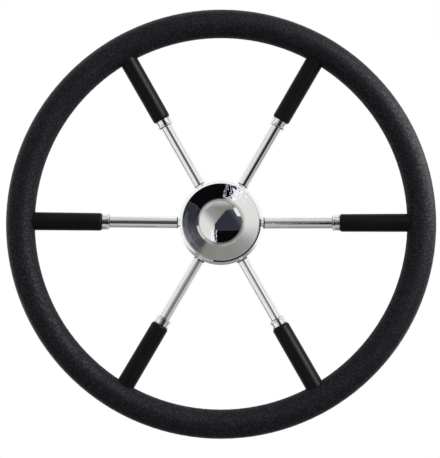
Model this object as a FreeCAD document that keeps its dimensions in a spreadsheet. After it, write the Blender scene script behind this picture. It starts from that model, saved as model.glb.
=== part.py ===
import FreeCAD, Part
import math
import os
from collections import namedtuple

import Sketcher

# A six-spoke stainless boat steering wheel with a soft moulded grip, in millimetres.
# The helm shaft enters from behind along +Y and the helmsman stands on the -Y side, so
# the wheel's face looks towards -Y and +Z is up. The origin is the centre of the hub's
# rear face, where the shaft's taper enters.

# Driving sizes: name, value and what it is.
SIZES = (
    ("overall_diameter", 350.0, "outside of the rim"),
    ("grip_diameter", 23.4, "section of the moulded grip"),
    ("tube_diameter", 16.0, "section of the steel ring inside the grip"),
    ("tube_wall", 1.5, "wall of the steel ring"),
    ("rim_lead", 1.0, "rim's middle plane ahead of the hub's front face"),
    ("spoke_count", 6, "spokes"),
    ("spoke_diameter", 9.5, "spoke rod"),
    ("spoke_rake", 5.0, "degrees that a spoke leans back from the rim to the hub"),
    ("rod_chamfer", 0.5, "chamfer on a rod's inner end"),
    ("collar_start", 91.4, "from the wheel's axis to a collar, along the spoke"),
    ("collar_length", 6.3, "steel collar that closes a sleeve"),
    ("collar_diameter", 13.6, "steel collar"),
    ("collar_chamfer", 0.9, "chamfer on the collar's hub end"),
    ("collar_step", 0.35, "height of the bead at the collar's hub end"),
    ("sleeve_start_diameter", 14.5, "moulded sleeve beside its collar"),
    ("sleeve_end_diameter", 14.9, "moulded sleeve at the rim"),
    ("sleeve_corner", 1.8, "rounded corner of a sleeve beside its collar"),
    ("fit_gap", 0.05, "radial clearance of everything threaded on or over a rod"),
    ("hub_diameter", 70.0, "drum that carries the spokes"),
    ("drum_length", 20.0, "drum, front to back"),
    ("drum_front_bevel", 2.1, "steep bevel of the drum's front edge, across"),
    ("drum_bevel_depth", 2.9, "steep bevel of the drum's front edge, along the wheel's axis"),
    ("drum_back_round", 3.0, "rounding of the drum's back edge"),
    ("boss_diameter", 42.0, "boss behind the drum"),
    ("boss_root_round", 5.0, "hollow rounding where the boss leaves the drum"),
    ("boss_chamfer", 1.5, "chamfer on the hub's rear edge"),
    ("socket_depth", 7.0, "drilling in the drum that holds a spoke"),
    ("taper_length", 25.4, "tapered bore, from the rear face to the nut seat"),
    ("taper_mouth_diameter", 19.05, "tapered bore at the rear face"),
    ("taper_run", 12.0, "length in which the bore narrows by one on its diameter"),
    ("keyway_width", 4.76, "keyway beside the tapered bore"),
    ("keyway_depth", 2.4, "keyway, from the bore's mouth outwards"),
    ("socket_wall", 2.0, "between a drilling's floor and the nut recess"),
    ("recess_depth", 14.0, "recess for the shaft's nut, from the front face to the nut seat"),
    ("recess_corner", 1.5, "rounding at the bottom of the recess"),
    ("register_depth", 1.2, "step in the front face where the cap sits"),
    ("front_land", 1.05, "flat ring between the front edge's bevel and the cap's step"),
    ("cap_gap", 0.25, "open line around the cap, on its radius"),
    ("cap_height", 4.8, "cap's rim above its seat"),
    ("cap_rim_round", 0.5, "rounding of the cap's rim"),
    ("cap_face_fall", 2.87, "how far the cap's face falls from its rim to the valley's brink"),
    ("dome_diameter", 34.6, "dome in the middle of the cap"),
    ("dome_height", 2.76, "dome above the valley's brink"),
    ("dome_edge_round", 0.3, "rounding of the dome's edge"),
    ("valley_width", 2.5, "turned valley between the dome and the face"),
    ("valley_fall", 0.93, "valley's floor below its brink"),
    ("valley_round", 0.4, "radius of the valley's floor"),
    ("cap_wall", 1.2, "wall of the cap behind its valley"),
    ("spigot_gap", 0.2, "radial clearance of the cap's spigot in the recess"),
    ("spigot_wall", 3.2, "wall of the cap's spigot"),
    ("spigot_length", 6.5, "spigot, from the cap's seat backwards"),
    ("seal_section", 2.0, "rubber ring that holds the cap"),
    ("seal_inset", 3.4, "rubber ring's middle, from the cap's seat"),
    ("seal_gap", 0.05, "play of the rubber ring against the recess and in its groove"),
)

# Places worked out from the driving sizes.
RING_RADIUS = "((Sizes.overall_diameter - Sizes.grip_diameter) / 2)"
FRONT_FACE = "(-(Sizes.taper_length + Sizes.recess_depth))"
NUT_SEAT = "(-Sizes.taper_length)"
RIM_PLANE = f"({FRONT_FACE} - Sizes.rim_lead)"
SPOKE_APEX = f"({RIM_PLANE} + {RING_RADIUS} * tan(Sizes.spoke_rake * 1deg))"
SPOKE_END = f"({RING_RADIUS} / cos(Sizes.spoke_rake * 1deg))"
ROD_RADIUS = "(Sizes.spoke_diameter / 2)"
ROD_HOLE_RADIUS = "(Sizes.spoke_diameter / 2 + Sizes.fit_gap)"
SOCKET_FLOOR = "(Sizes.hub_diameter / 2 - Sizes.socket_depth)"
SLEEVE_START = "(Sizes.collar_start + Sizes.collar_length)"
DRUM_BACK = f"({FRONT_FACE} + Sizes.drum_length)"
TAPER_MOUTH_RADIUS = "(Sizes.taper_mouth_diameter / 2)"
TAPER_END_RADIUS = "((Sizes.taper_mouth_diameter - Sizes.taper_length / Sizes.taper_run) / 2)"
RECESS_RADIUS = f"({SOCKET_FLOOR} - Sizes.socket_wall)"
CAP_SEAT = f"({FRONT_FACE} + Sizes.register_depth)"
REGISTER_RADIUS = "(Sizes.hub_diameter / 2 - Sizes.drum_front_bevel - Sizes.front_land)"
CAP_RADIUS = f"({REGISTER_RADIUS} - Sizes.cap_gap)"
CAP_RIM = f"({CAP_SEAT} - Sizes.cap_height)"
VALLEY_BRINK = f"({CAP_RIM} + Sizes.cap_face_fall)"
CAP_VALLEY = f"({VALLEY_BRINK} + Sizes.valley_fall)"
CAP_CEILING = f"({CAP_VALLEY} + Sizes.cap_wall)"
DOME_RADIUS = "(Sizes.dome_diameter / 2)"
DOME_BROW = f"({DOME_RADIUS} - Sizes.dome_edge_round)"
DOME_TOP = f"({VALLEY_BRINK} - Sizes.dome_height)"
SPIGOT_RADIUS = f"({RECESS_RADIUS} - Sizes.spigot_gap)"
SPIGOT_INNER = f"({SPIGOT_RADIUS} - Sizes.spigot_wall)"
SPIGOT_END = f"({CAP_SEAT} + Sizes.spigot_length)"
SEAL_PLACE = f"({CAP_SEAT} + Sizes.seal_inset)"
SEAL_RADIUS = f"({RECESS_RADIUS} - Sizes.seal_gap - Sizes.seal_section / 2)"
GROOVE_FLOOR = f"({SEAL_RADIUS} - Sizes.seal_section / 2 - Sizes.seal_gap)"
GROOVE_HALF = "(Sizes.seal_section / 2 + 4 * Sizes.seal_gap)"

# A sketch's own axes. The horizontal one's first end is the sketch's zero.
HORIZONTAL = -1
UPRIGHT = -2

# How a sketch numbers an edge's two ends and a circle's middle.
FIRST_END, LAST_END, MIDDLE = range(1, 4)

# A curved side of an outline, bulging to the left or the right of the way along it.
Bend = namedtuple("Bend", "radius bulge")
LEFT = 1
RIGHT = -1


def make_sheet(doc):
    """The spreadsheet that holds the driving sizes."""
    sheet = doc.addObject("Spreadsheet::Sheet", "Sizes")
    for row, (name, value, meaning) in enumerate(SIZES, start=1):
        sheet.set(f"A{row}", meaning)
        sheet.set(f"B{row}", str(value))
        sheet.setAlias(f"B{row}", name)
    doc.recompute()
    return sheet


def new_body(doc, label, turn=0.0):
    """A body about the wheel's axis, turned by this many degrees towards +Z from +X."""
    body = doc.addObject("PartDesign::Body", label)
    body.Label = label
    body.Placement = FreeCAD.Placement(
        FreeCAD.Vector(0, 0, 0), FreeCAD.Rotation(FreeCAD.Vector(0, -1, 0), turn)
    )
    return body


def origin_feature(body, role):
    return next(f for f in body.Origin.OriginFeatures if f.Role == role)


def new_sketch(body, name, plane="XY_Plane"):
    """A sketch on one of the body's own planes."""
    sketch = body.newObject("Sketcher::SketchObject", f"{body.Name}_{name}")
    sketch.AttachmentSupport = (origin_feature(body, plane), "")
    sketch.MapMode = "FlatFace"
    return sketch


def spoke_sketch(body, name):
    """A sketch whose horizontal axis lies along a spoke, with the wheel's axis at its zero."""
    sketch = new_sketch(body, name)
    sketch.AttachmentOffset = FreeCAD.Placement(
        FreeCAD.Vector(0, 0, 0), FreeCAD.Rotation(FreeCAD.Vector(0, 0, 1), -1)
    )
    sketch.setExpression("AttachmentOffset.Base.y", SPOKE_APEX)
    sketch.setExpression("AttachmentOffset.Rotation.Angle", "-Sizes.spoke_rake")
    return sketch


def worked_out(sketch, size):
    return float(sketch.evalExpression(size))


def hold(sketch, kind, *where, size):
    """A sketch constraint whose value follows the driving sizes."""
    index = sketch.addConstraint(Sketcher.Constraint(kind, *where, worked_out(sketch, size)))
    sketch.setExpression(f"Constraints[{index}]", size)


def hold_point(sketch, edge, end, across, up):
    """Hold one end of an edge at this place, or on an axis where the place is 0."""
    for kind, axis, size in (("DistanceX", UPRIGHT, across), ("DistanceY", HORIZONTAL, up)):
        if size == "0":
            sketch.addConstraint(Sketcher.Constraint("PointOnObject", edge, end, axis))
        else:
            hold(sketch, kind, HORIZONTAL, FIRST_END, edge, end, size=size)


def arc_between(start, finish, radius, bulge):
    """The short arc between two points."""
    way = finish - start
    middle = (start + finish) / 2
    left = FreeCAD.Vector(-way.y, way.x, 0).normalize()
    half = way.Length / 2
    height = radius - math.sqrt(max(radius**2 - half**2, 0.0))
    return Part.Arc(start, middle + left * height * bulge, finish)


def draw_outline(sketch, path):
    """Close a loop through the path's points. A bend between two points curves that side."""
    corners = [place for place in path if not isinstance(place, Bend)]
    bends = {}
    passed = 0
    for place in path:
        if isinstance(place, Bend):
            bends[passed - 1] = place
        else:
            passed += 1
    points = [
        FreeCAD.Vector(worked_out(sketch, across), worked_out(sketch, up), 0) for across, up in corners
    ]
    ends = []
    for side, start in enumerate(points):
        finish = points[(side + 1) % len(points)]
        if side in bends:
            radius = worked_out(sketch, bends[side].radius)
            edge = sketch.addGeometry(arc_between(start, finish, radius, bends[side].bulge))
        else:
            edge = sketch.addGeometry(Part.LineSegment(start, finish))
        first_gap = (sketch.getPoint(edge, FIRST_END) - start).Length
        last_gap = (sketch.getPoint(edge, LAST_END) - start).Length
        ends.append((edge, FIRST_END, LAST_END) if first_gap < last_gap else (edge, LAST_END, FIRST_END))
    for (edge, _, leaves), (after, arrives, _) in zip(ends, ends[1:] + ends[:1]):
        sketch.addConstraint(Sketcher.Constraint("Coincident", edge, leaves, after, arrives))
    for (edge, starts, _), (across, up) in zip(ends, corners):
        hold_point(sketch, edge, starts, across, up)
    for side, bend in bends.items():
        edge, _, _ = ends[side]
        hold(sketch, "Radius", edge, size=bend.radius)


def draw_circle(sketch, radius, across, up):
    centre = FreeCAD.Vector(worked_out(sketch, across), worked_out(sketch, up), 0)
    circle = Part.Circle(centre, FreeCAD.Vector(0, 0, 1), worked_out(sketch, radius))
    edge = sketch.addGeometry(circle)
    hold(sketch, "Radius", edge, size=radius)
    hold_point(sketch, edge, MIDDLE, across, up)


def turn_profile(body, kind, sketch, axis):
    """Turn a sketch right round one of its own axes, adding or cutting material."""
    feature = body.newObject(f"PartDesign::{kind}", f"{sketch.Name}_{kind.lower()}")
    feature.Profile = sketch
    feature.ReferenceAxis = (sketch, [axis])
    feature.Angle = 360
    sketch.Visibility = False
    return feature


def repeat_round_wheel(body, feature):
    """Repeat a cut once for each spoke about the wheel's axis."""
    pattern = body.newObject("PartDesign::PolarPattern", f"{feature.Name}_pattern")
    pattern.Originals = [feature]
    pattern.Axis = (origin_feature(body, "Y_Axis"), [""])
    pattern.Angle = 360
    pattern.setExpression("Occurrences", "Sizes.spoke_count")
    body.Tip = pattern
    return pattern


def drill_for_rods(body, inner, outer):
    """Drill the slanting holes that the spokes pass through, between these reaches."""
    sketch = spoke_sketch(body, "rod_hole")
    draw_outline(sketch, [(inner, "0"), (outer, "0"), (outer, ROD_HOLE_RADIUS), (inner, ROD_HOLE_RADIUS)])
    repeat_round_wheel(body, turn_profile(body, "Groove", sketch, "H_Axis"))


def cope_to_ring(body, section_radius):
    """Cut a spoke's outer end to the saddle where it meets a ring of this section."""
    sketch = new_sketch(body, "saddle")
    draw_circle(sketch, section_radius, RING_RADIUS, RIM_PLANE)
    turn_profile(body, "Groove", sketch, "V_Axis")


def rim_tube(doc):
    """The steel tube, bent and welded into a ring, that carries the grip."""
    body = new_body(doc, "rim_tube")
    sketch = new_sketch(body, "section")
    draw_circle(sketch, "Sizes.tube_diameter / 2", RING_RADIUS, RIM_PLANE)
    draw_circle(sketch, "Sizes.tube_diameter / 2 - Sizes.tube_wall", RING_RADIUS, RIM_PLANE)
    turn_profile(body, "Revolution", sketch, "V_Axis")
    return body


def rim_grip(doc):
    """The soft grip moulded round the steel ring, with a hole for each rod."""
    body = new_body(doc, "rim_grip")
    sketch = new_sketch(body, "section")
    draw_circle(sketch, "Sizes.grip_diameter / 2", RING_RADIUS, RIM_PLANE)
    draw_circle(sketch, "Sizes.tube_diameter / 2", RING_RADIUS, RIM_PLANE)
    turn_profile(body, "Revolution", sketch, "V_Axis")
    drill_for_rods(body, f"({SPOKE_END} - Sizes.grip_diameter)", SPOKE_END)
    return body


def spoke_rod(doc, label, turn):
    """A polished rod from its socket in the drum to the steel ring, where it is welded."""
    body = new_body(doc, label, turn)
    sketch = spoke_sketch(body, "rod")
    draw_outline(
        sketch,
        [
            (SOCKET_FLOOR, "0"),
            (SPOKE_END, "0"),
            (SPOKE_END, ROD_RADIUS),
            (f"({SOCKET_FLOOR} + Sizes.rod_chamfer)", ROD_RADIUS),
            (SOCKET_FLOOR, f"({ROD_RADIUS} - Sizes.rod_chamfer)"),
        ],
    )
    turn_profile(body, "Revolution", sketch, "H_Axis")
    cope_to_ring(body, "Sizes.tube_diameter / 2")
    return body


def spoke_collar(doc, label, turn):
    """A steel collar with a bead and a bevel towards the hub, butted against its sleeve."""
    body = new_body(doc, label, turn)
    sketch = spoke_sketch(body, "collar")
    body_radius = "(Sizes.collar_diameter / 2 - Sizes.collar_step)"
    bead_radius = "(Sizes.collar_diameter / 2)"
    bead_start = "(Sizes.collar_start + Sizes.collar_chamfer)"
    bead_end = "(Sizes.collar_start + 2 * Sizes.collar_chamfer)"
    draw_outline(
        sketch,
        [
            ("Sizes.collar_start", ROD_HOLE_RADIUS),
            (SLEEVE_START, ROD_HOLE_RADIUS),
            (SLEEVE_START, body_radius),
            (f"({bead_end} + Sizes.collar_step)", body_radius),
            (bead_end, bead_radius),
            (bead_start, bead_radius),
            ("Sizes.collar_start", f"({bead_radius} - Sizes.collar_chamfer)"),
        ],
    )
    turn_profile(body, "Revolution", sketch, "H_Axis")
    return body


def spoke_sleeve(doc, label, turn):
    """A moulded sleeve that swells a little towards the rim and is coped to the grip."""
    body = new_body(doc, label, turn)
    sketch = spoke_sketch(body, "sleeve")
    start_radius = "(Sizes.sleeve_start_diameter / 2)"
    draw_outline(
        sketch,
        [
            (SLEEVE_START, ROD_HOLE_RADIUS),
            (SPOKE_END, ROD_HOLE_RADIUS),
            (SPOKE_END, "Sizes.sleeve_end_diameter / 2"),
            (f"({SLEEVE_START} + Sizes.sleeve_corner)", start_radius),
            Bend("Sizes.sleeve_corner", RIGHT),
            (SLEEVE_START, f"({start_radius} - Sizes.sleeve_corner)"),
        ],
    )
    turn_profile(body, "Revolution", sketch, "H_Axis")
    cope_to_ring(body, "Sizes.grip_diameter / 2")
    return body


def hub_body(doc):
    """The turned hub: a drum drilled for the spokes, a nut recess and a boss with a keyed taper."""
    body = new_body(doc, "hub_body")
    sketch = new_sketch(body, "section")
    drum = "(Sizes.hub_diameter / 2)"
    boss = "(Sizes.boss_diameter / 2)"
    draw_outline(
        sketch,
        [
            (TAPER_END_RADIUS, NUT_SEAT),
            (f"({RECESS_RADIUS} - Sizes.recess_corner)", NUT_SEAT),
            Bend("Sizes.recess_corner", LEFT),
            (RECESS_RADIUS, f"({NUT_SEAT} - Sizes.recess_corner)"),
            (RECESS_RADIUS, CAP_SEAT),
            (REGISTER_RADIUS, CAP_SEAT),
            (REGISTER_RADIUS, FRONT_FACE),
            (f"({drum} - Sizes.drum_front_bevel)", FRONT_FACE),
            (drum, f"({FRONT_FACE} + Sizes.drum_bevel_depth)"),
            (drum, f"({DRUM_BACK} - Sizes.drum_back_round)"),
            Bend("Sizes.drum_back_round", RIGHT),
            (f"({drum} - Sizes.drum_back_round)", DRUM_BACK),
            (f"({boss} + Sizes.boss_root_round)", DRUM_BACK),
            Bend("Sizes.boss_root_round", LEFT),
            (boss, f"({DRUM_BACK} + Sizes.boss_root_round)"),
            (boss, "-Sizes.boss_chamfer"),
            (f"({boss} - Sizes.boss_chamfer)", "0"),
            (TAPER_MOUTH_RADIUS, "0"),
        ],
    )
    turn_profile(body, "Revolution", sketch, "V_Axis")
    drill_for_rods(body, SOCKET_FLOOR, "Sizes.hub_diameter")
    cut_keyway(body)
    return body


def cut_keyway(body):
    """A square keyway along the tapered bore, on its upper side."""
    sketch = new_sketch(body, "keyway", "XZ_Plane")
    half = "(Sizes.keyway_width / 2)"
    top = f"({TAPER_MOUTH_RADIUS} + Sizes.keyway_depth)"
    draw_outline(sketch, [(f"-{half}", "0"), (half, "0"), (half, top), (f"-{half}", top)])
    slot = body.newObject("PartDesign::Pocket", "keyway_pocket")
    slot.Profile = sketch
    slot.Type = "Length"
    slot.Reversed = True
    slot.setExpression("Length", "Sizes.taper_length")
    sketch.Visibility = False


def hub_cap(doc):
    """The turned cap: a face that falls from its rim to a domed middle, and a grooved spigot."""
    body = new_body(doc, "hub_cap")
    sketch = new_sketch(body, "section")
    dome_curve = f"(({DOME_BROW}^2 + Sizes.dome_height^2) / (2 * Sizes.dome_height))"
    cavity = f"({SPIGOT_INNER} - Sizes.cap_wall)"
    draw_outline(
        sketch,
        [
            ("0", DOME_TOP),
            Bend(dome_curve, RIGHT),
            (DOME_BROW, VALLEY_BRINK),
            Bend("Sizes.dome_edge_round", RIGHT),
            (DOME_RADIUS, f"({VALLEY_BRINK} + Sizes.dome_edge_round)"),
            (DOME_RADIUS, f"({CAP_VALLEY} - Sizes.valley_round)"),
            Bend("Sizes.valley_round", LEFT),
            (f"({DOME_RADIUS} + Sizes.valley_round)", CAP_VALLEY),
            (f"({DOME_RADIUS} + Sizes.valley_width)", VALLEY_BRINK),
            (f"({CAP_RADIUS} - Sizes.cap_rim_round)", CAP_RIM),
            Bend("Sizes.cap_rim_round", RIGHT),
            (CAP_RADIUS, f"({CAP_RIM} + Sizes.cap_rim_round)"),
            (CAP_RADIUS, CAP_SEAT),
            (SPIGOT_RADIUS, CAP_SEAT),
            (SPIGOT_RADIUS, f"({SEAL_PLACE} - {GROOVE_HALF})"),
            (GROOVE_FLOOR, f"({SEAL_PLACE} - {GROOVE_HALF})"),
            (GROOVE_FLOOR, f"({SEAL_PLACE} + {GROOVE_HALF})"),
            (SPIGOT_RADIUS, f"({SEAL_PLACE} + {GROOVE_HALF})"),
            (SPIGOT_RADIUS, SPIGOT_END),
            (SPIGOT_INNER, SPIGOT_END),
            (SPIGOT_INNER, f"({CAP_CEILING} + Sizes.cap_wall)"),
            Bend("Sizes.cap_wall", LEFT),
            (cavity, CAP_CEILING),
            ("0", CAP_CEILING),
        ],
    )
    turn_profile(body, "Revolution", sketch, "V_Axis")
    return body


def cap_seal(doc):
    """The rubber ring in the spigot's groove, which holds the cap in the recess."""
    body = new_body(doc, "cap_seal")
    sketch = new_sketch(body, "section")
    draw_circle(sketch, "Sizes.seal_section / 2", SEAL_RADIUS, SEAL_PLACE)
    turn_profile(body, "Revolution", sketch, "V_Axis")
    return body


def check_document(doc, bodies):
    """Stop if anything in the document failed to build."""
    for thing in doc.Objects:
        if "Invalid" in thing.State or "Error" in thing.State:
            raise RuntimeError(f"{thing.Label} did not build: {thing.State}")
    for body in bodies:
        if body.Shape.isNull() or not body.Shape.isValid() or len(body.Shape.Solids) != 1:
            raise RuntimeError(f"{body.Label} is not one valid solid")


def main():
    doc = FreeCAD.newDocument("steering_wheel")
    sheet = make_sheet(doc)
    count = int(sheet.get("spoke_count"))
    bodies = [rim_tube(doc), rim_grip(doc), hub_body(doc), hub_cap(doc), cap_seal(doc)]
    for number in range(count):
        turn = 360.0 / count * number
        bodies.append(spoke_rod(doc, f"spoke_rod_{number + 1}", turn))
        bodies.append(spoke_collar(doc, f"spoke_collar_{number + 1}", turn))
        bodies.append(spoke_sleeve(doc, f"spoke_sleeve_{number + 1}", turn))
    doc.recompute()
    check_document(doc, bodies)
    os.makedirs("parts", exist_ok=True)
    for body in bodies:
        body.Shape.exportStep(f"parts/{body.Label}.step")
        print(f"{body.Label}: {body.Shape.Volume / 1000:.2f} cm3")


main()
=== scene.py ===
import math

import bpy
from bpy.props import FloatProperty, FloatVectorProperty, PointerProperty
from mathutils import Matrix, Vector


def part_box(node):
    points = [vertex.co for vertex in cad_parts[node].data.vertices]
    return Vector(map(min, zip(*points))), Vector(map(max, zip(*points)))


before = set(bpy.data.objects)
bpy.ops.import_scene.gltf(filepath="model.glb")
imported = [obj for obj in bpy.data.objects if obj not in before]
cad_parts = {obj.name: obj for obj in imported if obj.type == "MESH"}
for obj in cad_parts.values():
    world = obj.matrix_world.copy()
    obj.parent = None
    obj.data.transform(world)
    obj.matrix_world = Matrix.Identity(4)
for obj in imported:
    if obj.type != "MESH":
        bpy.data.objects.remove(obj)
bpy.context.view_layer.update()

bl_info = {
    "name": "Boat steering wheel",
    "version": (1, 0, 0),
    "blender": (4, 5, 0),
    "location": "3D View > Sidebar > Wheel",
    "description": "Dresses the six-spoke boat steering wheel and sets it in its studio",
    "category": "Object",
}

# The spokes, and how much of each rod's polish is a milky bloom and not a mirror: painted light that
# pales the dark line the rods mirror
SPOKES = range(1, 7)
ROD_BLOOM_LIGHT = (0.0, 0.0, 0.12, 0.04, 0.19, 0.16)

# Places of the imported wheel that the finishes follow, in metres and radians
TUBE_RADIUS = 0.008
RING_RADIUS = (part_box("rim_tube")[1].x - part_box("rim_tube")[0].x) / 2 - TUBE_RADIUS
DRUM_RADIUS = (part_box("hub_body")[1].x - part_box("hub_body")[0].x) / 2
CAP_RADIUS = (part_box("hub_cap")[1].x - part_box("hub_cap")[0].x) / 2
COLLAR_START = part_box("spoke_collar_1")[0].x
SLEEVE_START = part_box("spoke_sleeve_1")[0].x
SPOKE_APEX = -0.0261
SPOKE_RAKE = math.radians(5.0)
DOME_CURVE = 0.0537
HUB_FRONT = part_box("hub_body")[0].y
BEVEL_WIDTH = 0.0021
BEVEL_START = DRUM_RADIUS - BEVEL_WIDTH

# How far the shading of the hub's front land leans out, and how softly the land ends
LAND_LEAN = math.radians(38)
LAND_SOFTNESS = 0.0002

# Pitch of the fine rings that turning leaves on the collars
TURNING_PITCH = 0.0004

# Soft edges on the cap: where each starts and ends, in metres out from the wheel's axis
DOME_TIP = (0.0018, 0.0022)
VALLEY_START = (0.0172, 0.0178)
VALLEY_END = (0.0194, 0.0200)
WALL_START = (0.0185, 0.0190)
WALL_END = (0.0201, 0.0204)
CLOUD_START = (0.0196, 0.0206)
BUFFED_START = (0.0200, 0.0210)
RAGGED_START = (0.0200, 0.0230)
CRESCENT_START = (0.0255, 0.0290)

# Ways out from the wheel's axis, across and up its face, in which the marks and the painted shade on hub
# and cap lie
SHARP_WAY = (0.643, -0.766)
BUFFED_WAY = (0.45, 0.89)
RAGGED_WAY = (-0.88, 0.47)
CLOUDED_WAY = (-0.87, -0.50)
CRESCENT_WAY = (-0.94, -0.34)
SHADED_VALLEY_WAY = (0.50, -0.87)
SHADED_WALL_WAY = (-0.57, 0.82)

# The photograph's longer side and how far its middle lies from the camera's axis, in pixels
PHOTO_SIDE = 458
PHOTO_SHIFT = (-0.70, -7.12)


# Shader maths


class Level:
    """A number on a socket. Arithmetic on it adds the Math nodes."""

    def __init__(self, finish, socket):
        self.finish = finish
        self.socket = socket

    def _math(self, operation, *values):
        node = self.finish.node("ShaderNodeMath", {"operation": operation}, values)
        return Level(self.finish, node.outputs[0])

    def __add__(self, other):
        return self._math("ADD", self, other)

    def __radd__(self, other):
        return self._math("ADD", other, self)

    def __sub__(self, other):
        return self._math("SUBTRACT", self, other)

    def __rsub__(self, other):
        return self._math("SUBTRACT", other, self)

    def __mul__(self, other):
        return self._math("MULTIPLY", self, other)

    def __rmul__(self, other):
        return self._math("MULTIPLY", other, self)

    def __truediv__(self, other):
        return self._math("DIVIDE", self, other)

    def __rtruediv__(self, other):
        return self._math("DIVIDE", other, self)

    def __neg__(self):
        return self._math("MULTIPLY", self, -1.0)

    def at_least(self, other):
        return self._math("MAXIMUM", self, other)

    def at_most(self, other):
        return self._math("MINIMUM", self, other)

    def root(self):
        return self._math("SQRT", self)

    def wave(self):
        return self._math("SINE", self)

    def angle_with(self, other):
        """The angle of the point whose height this is and whose reach is the other."""
        return self._math("ARCTAN2", self, other)

    def folded(self, half):
        """This number wrapped into the span from minus half to half."""
        return self._math("WRAP", self, half, -half)

    def rise(self, low, high):
        """0 below low, 1 above high, and a smooth step between."""
        node = self.finish.node(
            "ShaderNodeMapRange",
            {"interpolation_type": "SMOOTHSTEP"},
            {"Value": self, "From Min": low, "From Max": high, "To Min": 0.0, "To Max": 1.0},
        )
        return Level(self.finish, node.outputs["Result"])

    def fall(self, low, high):
        """1 below low, 0 above high, and a smooth step between."""
        return 1.0 - self.rise(low, high)

    def within(self, start, end):
        """1 between two soft edges, each given by where it starts and ends."""
        return self.rise(*start) * self.fall(*end)


class Finish:
    """The node tree of a material or of the world."""

    def __init__(self, tree):
        self.tree = tree
        self.tree.nodes.clear()

    def node(self, kind, settings=None, sockets=()):
        """A node of this kind, its settings, and its sockets' values by name or in order."""
        node = self.tree.nodes.new(kind)
        for name, value in (settings or {}).items():
            setattr(node, name, value)
        pairs = sockets.items() if isinstance(sockets, dict) else enumerate(sockets)
        for name, value in pairs:
            self.feed(node.inputs[name], value)
        return node

    def feed(self, socket, value):
        """Link a level or a socket to this socket, or set its own value."""
        if isinstance(value, Level):
            value = value.socket
        if isinstance(value, bpy.types.NodeSocket):
            self.tree.links.new(value, socket)
        elif socket.type == "RGBA":
            socket.default_value = (*value, 1.0)
        else:
            socket.default_value = value

    def point(self):
        """The shaded point in the wheel's own frame."""
        return self.node("ShaderNodeTexCoord").outputs["Object"]

    def own_normal(self):
        """The mesh's own normal."""
        return self.node("ShaderNodeNewGeometry").outputs["Normal"]

    def parts(self, vector):
        """A vector's x, y and z."""
        node = self.node("ShaderNodeSeparateXYZ", None, [vector])
        return [Level(self, socket) for socket in node.outputs]

    def vector(self, x, y, z):
        return self.node("ShaderNodeCombineXYZ", None, [x, y, z]).outputs[0]

    def noise(self, point, scale=1.0, detail=2.0, roughness=0.5, distortion=0.0):
        sockets = {
            "Vector": point,
            "Scale": scale,
            "Detail": detail,
            "Roughness": roughness,
            "Distortion": distortion,
        }
        return Level(self, self.node("ShaderNodeTexNoise", None, sockets).outputs[0])

    def mix(self, kind, share, first, second):
        node = self.node("ShaderNodeMix", {"data_type": kind}, {"Factor": share})
        for name, value in (("A", first), ("B", second)):
            self.feed(next(s for s in node.inputs if s.name == name and s.type == kind), value)
        return next(s for s in node.outputs if s.type == kind)

    def blend(self, share, first, second):
        """A colour between two others."""
        return self.mix("RGBA", share, first, second)

    def between(self, share, first, second):
        """A direction between two others."""
        mixed = self.mix("VECTOR", share, first, second)
        return self.node("ShaderNodeVectorMath", {"operation": "NORMALIZE"}, [mixed]).outputs[0]

    def bump(self, height, distance, strength, over=None):
        """Small relief, over the mesh's own normals or over others."""
        sockets = {"Height": height, "Distance": distance, "Strength": strength}
        if over is not None:
            sockets["Normal"] = over
        return self.node("ShaderNodeBump", None, sockets).outputs[0]

    def surface(self, **sockets):
        """The shader and the material's output. An underscore stands for a space in a name."""
        named = {name.replace("_", " "): value for name, value in sockets.items()}
        shader = self.node("ShaderNodeBsdfPrincipled", None, named)
        self.node("ShaderNodeOutputMaterial", None, {"Surface": shader.outputs[0]})


class Place:
    """Where the shaded point lies on the wheel, and its reach from the wheel's axis."""

    def __init__(self, finish):
        self.point = finish.point()
        self.x, self.y, self.z = finish.parts(self.point)
        self.reach = (self.x * self.x + self.z * self.z).root()

    def round_axis(self):
        """The angle round the wheel's axis."""
        return self.z.angle_with(self.x)

    def round_spoke(self):
        """The angle round a spoke's own centre line, with all the spokes folded into one."""
        side = self.reach * self.round_axis().folded(math.pi / len(SPOKES)).wave()
        depth = self.y - SPOKE_APEX + self.reach * math.tan(SPOKE_RAKE)
        return depth.angle_with(side)

    def towards(self, way, low, high):
        """1 in a sector that lies this way from the wheel's axis, with soft sides."""
        across, up = way
        return ((across * self.x + up * self.z) / self.reach).rise(low, high)


def new_material(name):
    material = bpy.data.materials.new(name)
    material.use_nodes = True
    return material, Finish(material.node_tree)


def dress(names, material):
    """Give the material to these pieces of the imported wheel."""
    for name in names:
        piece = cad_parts[name]
        piece.material_slots[0].material = material


# Colours of the studio, of what the polished pieces mirror, and of the hidden seal

WHITE = (1.000, 1.000, 1.000)
FLOOR_PALE = (0.900, 0.900, 0.900)
PALE_WALL = (0.810, 0.820, 0.785)
BRIGHT_CORNER = (0.867, 0.867, 0.867)
GREY_WALL = (0.251, 0.247, 0.221)
LILAC_WALL = (0.325, 0.321, 0.334)
HIGH_WALL = (0.572, 0.581, 0.581)
CEILING = (0.477, 0.485, 0.485)
SIDE_WALL = (0.485, 0.485, 0.485)
NEAR_FLOOR = (0.399, 0.399, 0.390)
FAR_FLOOR = (0.312, 0.312, 0.312)
DARK_SCREEN = (0.031, 0.035, 0.047)
PALE_SCREEN = (0.095, 0.097, 0.108)
BACK_SCREEN = (0.052, 0.055, 0.068)
LOW_SHADE = (0.035, 0.035, 0.043)
BLACK_TABLE = (0.003, 0.003, 0.004)
WINDOW = (0.936, 0.936, 0.953)
COOL_GLINT = (1.083, 1.101, 1.170)
SEAL_BLACK = (0.012, 0.012, 0.012)
SEAL_GREY = (0.030, 0.030, 0.030)

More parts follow.
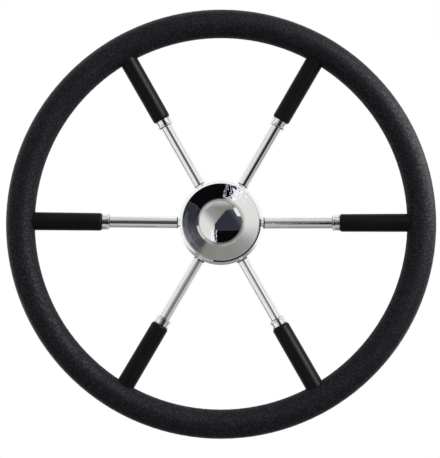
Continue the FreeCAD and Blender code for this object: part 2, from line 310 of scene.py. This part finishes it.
# Soft edges in the room: where each starts and ends on a plane a metre before the hub, in metres
RIGHT_EDGE = (1.05, 1.20)
WINDOW_EDGE = (0.705, 0.735)
WINDOW_SILL = (0.27, 0.30)
SCREEN_LEFT = (-0.215, -0.195)
SCREEN_FOOT = (-0.21, -0.19)
TABLE_TOP = (-0.205, -0.195)
TABLE_BOTTOM = (-0.76, -0.70)
TABLE_LEFT = (-0.165, -0.155)
PATCH_TOP = (-0.205, -0.190)
PATCH_BOTTOM = (-0.62, -0.52)
FOLD_LEFT = (-0.24, -0.22)
OUTER_GLINT_LEFT = (-0.345, -0.325)
OUTER_GLINT_RIGHT = (-0.235, -0.225)
INNER_GLINT_LEFT = (-0.175, -0.165)
INNER_GLINT_RIGHT = (-0.140, -0.125)


class Room:
    """The room that the polished pieces mirror, worked out from a reflection's direction.

    Across and up say where that direction meets the upright plane a metre before the hub.
    """

    def __init__(self, finish):
        self.finish = finish
        way = finish.node("ShaderNodeTexCoord").outputs["Generated"]
        self.x, self.y, self.z = finish.parts(way)
        self.ahead = -self.y
        depth = self.ahead.at_least(0.05)
        self.across, self.up = self.x / depth, self.z / depth
        self.before = self.ahead.rise(0.02, 0.12)
        self.right_side = (self.across - 1.08 * self.up).rise(*RIGHT_EDGE)
        self.window_side = (self.across + 0.53 * self.up).rise(*WINDOW_EDGE)
        self.colour = GREY_WALL
        self.paint_walls()
        self.paint_window()
        self.paint_screen()
        self.paint_table()
        self.paint_patch()
        self.paint_backdrop()

    def paint(self, share, colour):
        """Lay a colour over what is there already."""
        self.colour = self.finish.blend(share, self.colour, colour)

    def paint_walls(self):
        """Grey at the right, then lilac, then pale at the left, with ceiling and floor."""
        x, z = self.x, self.z
        leftward = -1.2 * x - z
        low_left = (-0.45 * x - 0.9 * z).rise(0.35, 0.60) * (-x).rise(0.12, 0.30)
        self.paint(leftward.rise(-0.5, 0.1), LILAC_WALL)
        self.paint(leftward.rise(0.0, 0.55), PALE_WALL)
        self.paint(low_left, BRIGHT_CORNER)
        self.paint(z.rise(0.48, 0.68), HIGH_WALL)
        self.paint((z - 0.75 * x).rise(0.72, 0.86), BRIGHT_CORNER)
        self.paint(z.rise(0.84, 0.95), CEILING)
        self.paint(z.fall(-0.72, -0.56), NEAR_FLOOR)
        self.paint((z + 0.45 * x).fall(-0.95, -0.80), FAR_FLOOR)

    def paint_window(self):
        """The side wall at the right, and the window above it."""
        across, up = self.across, self.up
        self.paint(self.right_side * up.fall(0.27, 0.31) * self.before, SIDE_WALL)
        window = self.window_side * up.rise(*WINDOW_SILL) * (up - 1.15 * across).fall(0.0, 0.10)
        self.paint(window * self.ahead.rise(0.10, 0.30), WINDOW)

    def paint_screen(self):
        """The dark upright screen, paler towards its upper right."""
        across, up = self.across, self.up
        upright = across.rise(*SCREEN_LEFT) * (up - 1.3 * across).fall(0.240, 0.275)
        lower = upright * up.fall(*WINDOW_SILL)
        upper = upright * (up - 0.25 * across).fall(0.41, 0.47) * (1.0 - self.window_side)
        screen = lower.at_least(upper) * (1.0 - self.right_side) * up.rise(*SCREEN_FOOT)
        shade = self.finish.blend((0.8 * across + 0.6 * up).rise(0.38, 0.68), DARK_SCREEN, PALE_SCREEN)
        self.paint(screen * self.before, shade)

    def paint_table(self):
        """The black table at the screen's foot."""
        table = self.up.within(TABLE_BOTTOM, TABLE_TOP) * self.across.rise(*TABLE_LEFT)
        self.paint(table * (1.0 - self.right_side) * self.before, BLACK_TABLE)

    def paint_patch(self):
        """The crumpled patch at the table's left: a dark fold between two broken glints."""
        finish, across, up = self.finish, self.across, self.up
        patch = up.within(PATCH_BOTTOM, PATCH_TOP) * self.before
        ruffle = finish.noise(finish.vector(across * 6.0, up * 13.0, 0.0), detail=3.0, roughness=0.7)
        fold = across + 0.10 * (ruffle - 0.5)
        stretched = finish.vector(across * 55.0, up * 17.0, 0.0)
        fleck = finish.noise(stretched, roughness=0.6, distortion=0.6)
        inner = patch * fold.rise(*INNER_GLINT_LEFT) * across.fall(*INNER_GLINT_RIGHT)
        outer = patch * fold.within(OUTER_GLINT_LEFT, OUTER_GLINT_RIGHT)
        self.paint(patch * fold.within(FOLD_LEFT, TABLE_LEFT), DARK_SCREEN)
        self.paint(inner * fleck.rise(0.50, 0.55), COOL_GLINT)
        self.paint(outer, COOL_GLINT)
        self.paint(outer * fleck.rise(0.58, 0.62), LILAC_WALL)

    def paint_backdrop(self):
        """The white backdrop beside and behind the wheel, and the shade low at its left."""
        x, y, z = self.x, self.y, self.z
        beside = z.rise(-0.35, -0.10).at_least((z - 0.55 * x).rise(-0.40, -0.28) * y.fall(-0.16, -0.10))
        self.paint(y.rise(-0.33, -0.22) * beside, WHITE)
        behind = self.finish.blend((-z).rise(0.35, 0.75), WHITE, FAR_FLOOR)
        behind = self.finish.blend(y.rise(0.92, 0.96) * z.rise(0.02, 0.08), behind, BACK_SCREEN)
        self.paint(y.rise(-0.05, 0.25), behind)
        low_left = (-0.84 * x - 0.54 * z).rise(0.84, 0.91)
        self.paint(low_left * y.within((-0.16, -0.12), (0.18, 0.26)), LOW_SHADE)


# Sizes and colours that a user would change


class WheelGrip(bpy.types.PropertyGroup):
    """The moulded grip and its sleeves."""

    colour: FloatVectorProperty(
        name="Colour",
        description="Black of the moulded polyurethane",
        default=(0.0011, 0.0010, 0.0020),
        subtype="COLOR",
    )
    rim_roughness: FloatProperty(
        name="Rim roughness",
        description="Satin of the rim",
        default=0.37,
        min=0.0,
        max=1.0,
        subtype="FACTOR",
    )
    sleeve_roughness: FloatProperty(
        name="Sleeve roughness",
        description="Satin of the sleeves",
        default=0.45,
        min=0.0,
        max=1.0,
        subtype="FACTOR",
    )
    gloss: FloatProperty(
        name="Gloss",
        description="How much the rim's skin mirrors",
        default=0.16,
        min=0.0,
        max=1.0,
        subtype="FACTOR",
    )
    sleeve_gloss: FloatProperty(
        name="Sleeve gloss",
        description="How much the sleeves mirror",
        default=0.115,
        min=0.0,
        max=1.0,
        subtype="FACTOR",
    )
    grain: FloatProperty(
        name="Grain", description="Size of the skin's grain", default=0.0021, unit="LENGTH"
    )
    rib_pitch: FloatProperty(
        name="Rib pitch", description="Fine ribs across the rim", default=0.00145, unit="LENGTH"
    )
    grain_depth: FloatProperty(
        name="Grain depth", description="Depth of the skin's grain", default=0.00026, unit="LENGTH"
    )


class WheelSteel(bpy.types.PropertyGroup):
    """The polished stainless pieces."""

    colour: FloatVectorProperty(
        name="Colour",
        description="Polished stainless steel",
        default=(0.90, 0.90, 0.905),
        subtype="COLOR",
    )
    # Painted shade for the seams where two pieces meet and high on the cap's valley wall
    joint_shade: FloatVectorProperty(
        name="Joint shade",
        description="Dark of the seams where two pieces meet",
        default=(0.05, 0.05, 0.055),
        subtype="COLOR",
    )
    mirror: FloatProperty(
        name="Mirror",
        description="Haze of the polish on cap and hub",
        default=0.035,
        min=0.0,
        max=1.0,
        subtype="FACTOR",
    )
    haze: FloatProperty(
        name="Haze",
        description="Haze of the polish on rods and collars",
        default=0.07,
        min=0.0,
        max=1.0,
        subtype="FACTOR",
    )
    # Width of the painted shade at a seam
    seam: FloatProperty(
        name="Seam", description="Width of a dark seam", default=0.0007, unit="LENGTH"
    )


class WheelStage(bpy.types.PropertyGroup):
    """The studio and its camera."""

    distance: FloatProperty(
        name="Distance", description="Camera to the middle of the rim", default=1.05, unit="LENGTH"
    )
    azimuth: FloatProperty(
        name="Azimuth",
        description="Camera's turn to the right",
        default=math.radians(0.759),
        subtype="ANGLE",
    )
    elevation: FloatProperty(
        name="Elevation",
        description="Camera's height over the wheel's axis",
        default=math.radians(-4.007),
        subtype="ANGLE",
    )
    roll: FloatProperty(
        name="Roll",
        description="Camera's tilt about its own axis",
        default=math.radians(0.306),
        subtype="ANGLE",
    )
    lens: FloatProperty(name="Lens", description="Focal length", default=101.39, unit="CAMERA")
    lamp_power: FloatProperty(
        name="Lamp power",
        description="Soft lamp that gives the grip its sheen",
        default=50.0,
        unit="POWER",
    )
    lamp_width: FloatProperty(
        name="Lamp width", description="Width of the soft lamp", default=0.70, unit="LENGTH"
    )
    lamp_distance: FloatProperty(
        name="Lamp distance", description="Soft lamp to the hub", default=2.0, unit="LENGTH"
    )
    lamp_way: FloatVectorProperty(
        name="Lamp direction",
        description="Way from the hub to the soft lamp",
        default=(0.665, -0.600, 0.445),
        subtype="DIRECTION",
    )
    side_power: FloatProperty(
        name="Side power",
        description="Lamp at the right that lights the rim's outer edge",
        default=1.5,
        unit="POWER",
    )
    side_width: FloatProperty(
        name="Side width", description="Width of the side lamp", default=0.30, unit="LENGTH"
    )
    side_spot: FloatVectorProperty(
        name="Side place",
        description="Where the side lamp stands",
        default=(0.48, -0.06, 0.18),
        subtype="TRANSLATION",
    )
    floor_height: FloatProperty(
        name="Floor height",
        description="Floor's height over the wheel's axis",
        default=-0.62,
        unit="LENGTH",
    )


# Pieces


class WHEEL_OT_grip(bpy.types.Operator):
    """Dress the rim's grip in grained and finely ribbed polyurethane"""

    bl_idname = "wheel.grip"
    bl_label = "Grip"

    def execute(self, context):
        sizes = context.scene.wheel_grip
        material, finish = new_material("grip_skin")
        place = Place(finish)
        ribs = math.tau * RING_RADIUS / sizes.rib_pitch
        rib = (place.round_axis() * ribs).wave() * 0.5 + 0.5
        worn = finish.noise(place.point, scale=9.0, detail=3.0, roughness=0.6).rise(0.42, 0.62)
        warped = finish.noise(place.point, scale=0.6 / sizes.grain)
        cells = finish.node(
            "ShaderNodeTexVoronoi",
            {"feature": "SMOOTH_F1"},
            {"Vector": place.point, "Scale": 1.0 / sizes.grain, "Smoothness": 0.35, "Randomness": 1.0},
        )
        pebble = 1.0 - Level(finish, cells.outputs["Distance"])
        crease = pebble.fall(0.35, 0.75)
        speck = finish.noise(place.point, scale=2.3 / sizes.grain, detail=1.0)
        sheen = finish.noise(place.point, scale=55.0, detail=4.0, roughness=0.65)
        # The skin's own paler mottling, kept darker in the grain's creases as painted shade
        pale = (sheen * 0.3 + speck * 0.7 - crease * 0.2).rise(0.38, 0.56)
        outside = (place.reach - RING_RADIUS).rise(0.002, 0.011)
        dull = 0.12 * (sheen - 0.5) + 0.16 * crease + 0.15 * (1.0 - outside) - 0.03 * outside
        height = pebble * 0.8 + warped * 0.6 + speck * 0.3 + rib * (0.10 + worn * 0.16)
        finish.surface(
            Specular_IOR_Level=sizes.gloss,
            Base_Color=finish.blend(pale, sizes.colour, sizes.colour * 7.0),
            Roughness=sizes.rim_roughness + dull,
            Normal=finish.bump(height, distance=sizes.grain_depth, strength=1.0),
        )
        dress(["rim_grip"], material)
        return {"FINISHED"}


class WHEEL_OT_sleeves(bpy.types.Operator):
    """Dress the sleeves in smooth satin polyurethane"""

    bl_idname = "wheel.sleeves"
    bl_label = "Sleeves"

    def execute(self, context):
        sizes = context.scene.wheel_grip
        material, finish = new_material("sleeve_skin")
        place = Place(finish)
        cloud = finish.noise(place.point, scale=60.0, detail=3.0, roughness=0.6)
        orange_peel = finish.noise(place.point, scale=900.0, roughness=0.55)
        moulded_end = place.reach.rise(SLEEVE_START, SLEEVE_START + 0.004)
        finish.surface(
            Specular_IOR_Level=sizes.sleeve_gloss,
            Base_Color=finish.blend(cloud.rise(0.35, 0.70), sizes.colour, sizes.colour * 1.5),
            Roughness=sizes.sleeve_roughness + 0.14 * (cloud - 0.5) + 0.06 * (1.0 - moulded_end),
            Normal=finish.bump(orange_peel * 0.6 + cloud * 0.8, distance=0.00006, strength=0.5),
        )
        dress([f"spoke_sleeve_{k}" for k in SPOKES], material)
        return {"FINISHED"}


class WHEEL_OT_rods(bpy.types.Operator):
    """Dress the spoke rods in polished bar with faint draw marks"""

    bl_idname = "wheel.rods"
    bl_label = "Rods"

    def execute(self, context):
        sizes = context.scene.wheel_steel
        # Each rod's bloom is painted light over the dark line it mirrors
        for k, bloom in zip(SPOKES, ROD_BLOOM_LIGHT):
            self.dress_rod(sizes, k, bloom)
        return {"FINISHED"}

    def dress_rod(self, sizes, k, bloom):
        material, finish = new_material(f"rod_steel_{k}")
        place = Place(finish)
        drawn = finish.vector(place.reach * 25.0, place.round_spoke() * 9.0, 0.0)
        draw = finish.noise(drawn, detail=4.0, roughness=0.65)
        smear = finish.noise(place.point, scale=70.0, detail=3.0, roughness=0.6).rise(0.45, 0.80)
        # Painted shade in broken spots where the rod enters the drum
        root = place.reach.fall(DRUM_RADIUS + 0.8 * sizes.seam, DRUM_RADIUS + 2.2 * sizes.seam)
        root = root * finish.noise(place.point, scale=260.0, detail=1.0).rise(0.20, 0.40)
        finish.surface(
            Base_Color=finish.blend(root, sizes.colour, sizes.joint_shade),
            Metallic=1.0 - bloom,
            Roughness=sizes.haze + 0.07 * (draw - 0.5) + 0.08 * smear + 0.15 * root,
            Normal=finish.bump(draw, distance=0.000006, strength=0.35),
        )
        dress([f"spoke_rod_{k}"], material)


class WHEEL_OT_collars(bpy.types.Operator):
    """Dress the collars in turned steel, with painted shade in the seams at the rod and at the sleeve"""

    bl_idname = "wheel.collars"
    bl_label = "Collars"

    def execute(self, context):
        sizes = context.scene.wheel_steel
        material, finish = new_material("collar_steel")
        place = Place(finish)
        turned = (place.reach * (math.tau / TURNING_PITCH)).wave() * 0.5 + 0.5
        smear = finish.noise(place.point, scale=180.0, detail=3.0, roughness=0.6)
        at_rod = place.reach.fall(COLLAR_START + 0.4 * sizes.seam, COLLAR_START + 1.3 * sizes.seam)
        at_sleeve = place.reach.rise(SLEEVE_START - 0.9 * sizes.seam, SLEEVE_START - 0.2 * sizes.seam)
        # Painted shade where the collar meets the rod, fainter where it meets the sleeve
        painted_seam_shade = (at_rod + at_sleeve * 0.6).at_most(1.0)
        finish.surface(
            Base_Color=finish.blend(painted_seam_shade, sizes.colour, sizes.joint_shade),
            Metallic=1.0,
            Roughness=sizes.haze + 0.04 * turned + 0.10 * (smear - 0.5) + 0.15 * painted_seam_shade,
            Normal=finish.bump(turned * 0.5 + smear, distance=0.00001, strength=0.4),
        )
        dress([f"spoke_collar_{k}" for k in SPOKES], material)
        return {"FINISHED"}


class WHEEL_OT_hub(bpy.types.Operator):
    """Dress the hub in turned and polished steel"""

    bl_idname = "wheel.hub"
    bl_label = "Hub"

    def execute(self, context):
        sizes = context.scene.wheel_steel
        material, finish = new_material("hub_steel")
        place = Place(finish)
        turned = finish.noise(finish.vector(place.reach, place.y, 0.0), scale=4000.0, roughness=0.6)
        smear = finish.noise(place.point, scale=90.0, detail=3.0, roughness=0.6).rise(0.45, 0.80)
        sharp = place.towards(SHARP_WAY, 0.45, 0.75)
        # Painted shade in the gap round the cap, at the lower right only
        painted_gap_shade = place.reach.fall(CAP_RADIUS, CAP_RADIUS + 0.6 * sizes.seam) * sharp
        uneven = 0.05 * (turned - 0.3).at_least(0.0) + 0.10 * smear + 0.2 * painted_gap_shade
        land = self.land(finish, place, sharp)
        finish.surface(
            Base_Color=finish.blend(painted_gap_shade, sizes.colour * 1.06, sizes.joint_shade),
            Metallic=1.0,
            Roughness=sizes.mirror + uneven,
            Normal=finish.bump(turned, distance=0.000004, strength=0.5, over=land),
        )
        dress(["hub_body"], material)
        return {"FINISHED"}

    def land(self, finish, place, sharp):
        """The front land is shaded as a rounded edge, except where it is sharp."""
        leaning = finish.vector(place.x / place.reach, -1.0 / math.tan(LAND_LEAN), place.z / place.reach)
        inward = place.reach.fall(BEVEL_START, BEVEL_START + 2 * LAND_SOFTNESS)
        front = place.y.fall(HUB_FRONT + LAND_SOFTNESS, HUB_FRONT + 3 * LAND_SOFTNESS)
        return finish.between(inward * front * (1.0 - sharp), finish.own_normal(), leaning)


class WHEEL_OT_cap(bpy.types.Operator):
    """Dress the cap in mirror polish with faint rings from its turning"""

    bl_idname = "wheel.cap"
    bl_label = "Cap"

    def execute(self, context):
        sizes = context.scene.wheel_steel
        material, finish = new_material("cap_steel")
        place = Place(finish)
        turned = finish.vector(place.reach, 0.0, 0.0)
        rings = finish.noise(turned, scale=900.0, detail=3.0, roughness=0.6)
        wide = finish.noise(turned, scale=260.0, detail=1.0)
        smear = finish.noise(place.point, scale=75.0, detail=4.0, roughness=0.6)
        valley = place.reach.within(VALLEY_START, VALLEY_END)
        uneven = 0.03 * (rings - 0.5) + 0.05 * smear.rise(0.50, 0.80) + 0.04 * valley
        relief = self.relief(finish, place)
        finish.surface(
            Base_Color=self.colour(finish, place, sizes, smear, valley),
            Metallic=1.0 - 0.14 * self.crescent(finish, place),
            Roughness=sizes.mirror + uneven + 0.10 * self.cloud(finish, place),
            Normal=finish.bump(rings * 0.3 + wide, distance=0.000012, strength=0.6, over=relief),
        )
        dress(["hub_cap"], material)
        return {"FINISHED"}

    def relief(self, finish, place):
        """A round tip for the dome, and the dents that polishing left on the face."""
        domed = finish.vector(place.x / DOME_CURVE, -1.0, place.z / DOME_CURVE)
        crown = finish.between(place.reach.fall(*DOME_TIP), finish.own_normal(), domed)
        buffed = place.towards(BUFFED_WAY, 0.86, 0.95) * place.reach.rise(*BUFFED_START)
        ragged = place.towards(RAGGED_WAY, 0.90, 0.99) * place.reach.rise(*RAGGED_START)
        dents = finish.noise(place.point, scale=190.0, detail=1.0, distortion=0.4)
        return finish.bump(dents * (buffed + 0.22 * ragged), distance=0.0002, strength=1.0, over=crown)

    def colour(self, finish, place, sizes, smear, valley):
        """Polished steel, with painted shade: dimmer in the valley, most towards the lower right, and
        dark high on the valley's outer wall at the upper left.
        """
        # Painted shade in the valley, deepest at the lower right, and on its outer wall at the upper
        # left
        low = place.towards(SHADED_VALLEY_WAY, 0.55, 0.80)
        painted_wall_shade = place.towards(SHADED_WALL_WAY, 0.62, 0.80) * place.reach.within(WALL_START, WALL_END)
        polished = finish.blend(smear.rise(0.35, 0.75), sizes.colour, sizes.colour * 0.95)
        painted_valley_shade = finish.blend(low, sizes.colour * 0.70, sizes.colour * 0.40)
        return finish.blend(painted_wall_shade, finish.blend(valley, polished, painted_valley_shade), sizes.joint_shade)

    def cloud(self, finish, place):
        """Where the polish of the face is clouded."""
        patches = finish.noise(place.point, scale=140.0, detail=3.0, roughness=0.6).rise(0.30, 0.55)
        return place.towards(CLOUDED_WAY, 0.78, 0.97) * place.reach.rise(*CLOUD_START) * patches

    def crescent(self, finish, place):
        """A pale, streaky crescent near the cap's left edge."""
        drawn = finish.vector(place.reach * 700.0, place.round_axis() * 1.6, 0.0)
        streak = finish.noise(drawn, detail=3.0, roughness=0.65).rise(0.38, 0.60)
        return place.towards(CRESCENT_WAY, 0.76, 0.93) * place.reach.rise(*CRESCENT_START) * streak


class WHEEL_OT_hidden(bpy.types.Operator):
    """Dress the steel ring inside the grip and the rubber ring behind the cap"""

    bl_idname = "wheel.hidden"
    bl_label = "Ring and seal"

    def execute(self, context):
        self.dress_ring(context.scene.wheel_steel)
        self.dress_seal()
        return {"FINISHED"}

    def dress_ring(self, sizes):
        material, finish = new_material("ring_steel")
        scale = finish.noise(finish.point(), scale=120.0, detail=4.0, roughness=0.6)
        finish.surface(
            Base_Color=finish.blend(scale.rise(0.35, 0.70), sizes.colour, sizes.colour * 0.7),
            Metallic=1.0,
            Roughness=0.30 + 0.25 * (scale - 0.5),
            Normal=finish.bump(scale, distance=0.00003, strength=0.4),
        )
        dress(["rim_tube"], material)

    def dress_seal(self):
        material, finish = new_material("seal_rubber")
        bloom = finish.noise(finish.point(), scale=300.0, detail=3.0, roughness=0.6)
        finish.surface(
            Base_Color=finish.blend(bloom.rise(0.35, 0.70), SEAL_BLACK, SEAL_GREY),
            Roughness=0.55 + 0.3 * (bloom - 0.5),
            Normal=finish.bump(bloom, distance=0.00002, strength=0.4),
        )
        dress(["cap_seal"], material)


class WHEEL_OT_stage(bpy.types.Operator):
    """Set up the floor, the light and the camera"""

    bl_idname = "wheel.stage"
    bl_label = "Studio"

    def execute(self, context):
        sizes = context.scene.wheel_stage
        self.place_camera(context, sizes)
        self.place_lamps(context, sizes)
        self.light_world(context)
        self.lay_floor(context, sizes)
        return {"FINISHED"}

    def place_camera(self, context, sizes):
        rim_plane = (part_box("rim_grip")[0].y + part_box("rim_grip")[1].y) / 2
        camera = bpy.data.cameras.new("studio_camera")
        camera.lens = sizes.lens
        camera.sensor_width = 36.0
        camera.shift_x, camera.shift_y = (shift / PHOTO_SIDE for shift in PHOTO_SHIFT)
        holder = bpy.data.objects.new("studio_camera", camera)
        context.scene.collection.objects.link(holder)
        az, el, roll = sizes.azimuth, sizes.elevation, sizes.roll
        back = Vector((math.sin(az) * math.cos(el), -math.cos(az) * math.cos(el), math.sin(el)))
        right = Vector((0.0, 0.0, 1.0)).cross(back).normalized()
        up = back.cross(right)
        right, up = (
            right * math.cos(roll) + up * math.sin(roll),
            up * math.cos(roll) - right * math.sin(roll),
        )
        turn = Matrix((right, up, back)).transposed()
        spot = Vector((0.0, rim_plane, 0.0)) + back * sizes.distance
        holder.matrix_world = Matrix.Translation(spot) @ turn.to_4x4()
        context.scene.camera = holder

    def place_lamps(self, context, sizes):
        """Soft lamps for the rubber alone: the polished steel shows the room instead."""
        front = Vector(sizes.lamp_way).normalized() * sizes.lamp_distance
        side = Vector(sizes.side_spot)
        rubber = ["rim_grip", *(f"spoke_sleeve_{k}" for k in SPOKES)]
        self.add_lamp(context, "front_lamp", front, sizes.lamp_width, sizes.lamp_power, rubber)
        self.add_lamp(context, "side_lamp", side, sizes.side_width, sizes.side_power, ["rim_grip"])

    def add_lamp(self, context, name, spot, width, power, lit_names):
        lit = bpy.data.collections.new(f"lit_by_{name}")
        for piece in lit_names:
            lit.objects.link(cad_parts[piece])
        light = bpy.data.lights.new(name, "AREA")
        light.shape = "DISK"
        light.size = width
        light.energy = power
        lamp = bpy.data.objects.new(name, light)
        context.scene.collection.objects.link(lamp)
        lamp.matrix_world = Matrix.Translation(spot) @ spot.to_track_quat("Z", "Y").to_matrix().to_4x4()
        lamp.visible_camera = False
        lamp.light_linking.receiver_collection = lit

    def light_world(self, context):
        """Plain white light all round, and the room that only the reflections show."""
        world = bpy.data.worlds.new("studio_light")
        world.use_nodes = True
        world.cycles.sampling_method = "NONE"
        context.scene.world = world
        finish = Finish(world.node_tree)
        plain = finish.node("ShaderNodeBackground", None, {"Color": WHITE, "Strength": 1.0})
        room = finish.node("ShaderNodeBackground", None, {"Color": Room(finish).colour, "Strength": 1.0})
        glossy = finish.node("ShaderNodeLightPath").outputs["Is Glossy Ray"]
        either = finish.node("ShaderNodeMixShader", None, [glossy, plain.outputs[0], room.outputs[0]])
        finish.node("ShaderNodeOutputWorld", None, {"Surface": either.outputs[0]})

    def lay_floor(self, context, sizes):
        bpy.ops.object.select_all(action="DESELECT")
        bpy.ops.mesh.primitive_circle_add(
            vertices=96, radius=1.6, fill_type="NGON", location=(0.0, 0.0, sizes.floor_height)
        )
        floor = context.object
        floor.name = "studio_floor"
        material, finish = new_material("floor_pale")
        finish.surface(Base_Color=FLOOR_PALE, Roughness=0.8)
        floor.data.materials.append(material)
        floor.visible_glossy = False


class WHEEL_PT_sidebar(bpy.types.Panel):
    """Lists the wheel's operators"""

    bl_idname = "WHEEL_PT_sidebar"
    bl_label = "Boat steering wheel"
    bl_space_type = "VIEW_3D"
    bl_region_type = "UI"
    bl_category = "Wheel"

    def draw(self, context):
        for operator in OPERATORS:
            self.layout.operator(operator.bl_idname)


SETTINGS = {"wheel_grip": WheelGrip, "wheel_steel": WheelSteel, "wheel_stage": WheelStage}
OPERATORS = (
    WHEEL_OT_stage,
    WHEEL_OT_grip,
    WHEEL_OT_sleeves,
    WHEEL_OT_rods,
    WHEEL_OT_collars,
    WHEEL_OT_hub,
    WHEEL_OT_cap,
    WHEEL_OT_hidden,
)


def register():
    for settings in SETTINGS.values():
        bpy.utils.register_class(settings)
    for name, settings in SETTINGS.items():
        setattr(bpy.types.Scene, name, PointerProperty(type=settings))
    for operator in OPERATORS:
        bpy.utils.register_class(operator)
    bpy.utils.register_class(WHEEL_PT_sidebar)


def unregister():
    bpy.utils.unregister_class(WHEEL_PT_sidebar)
    for operator in reversed(OPERATORS):
        bpy.utils.unregister_class(operator)
    for name in SETTINGS:
        delattr(bpy.types.Scene, name)
    for settings in reversed(list(SETTINGS.values())):
        bpy.utils.unregister_class(settings)


def main():
    register()
    bpy.context.scene.view_settings.view_transform = "Standard"
    bpy.ops.wheel.stage()
    bpy.ops.wheel.grip()
    bpy.ops.wheel.sleeves()
    bpy.ops.wheel.rods()
    bpy.ops.wheel.collars()
    bpy.ops.wheel.hub()
    bpy.ops.wheel.cap()
    bpy.ops.wheel.hidden()


if __name__ == "__main__":
    main()
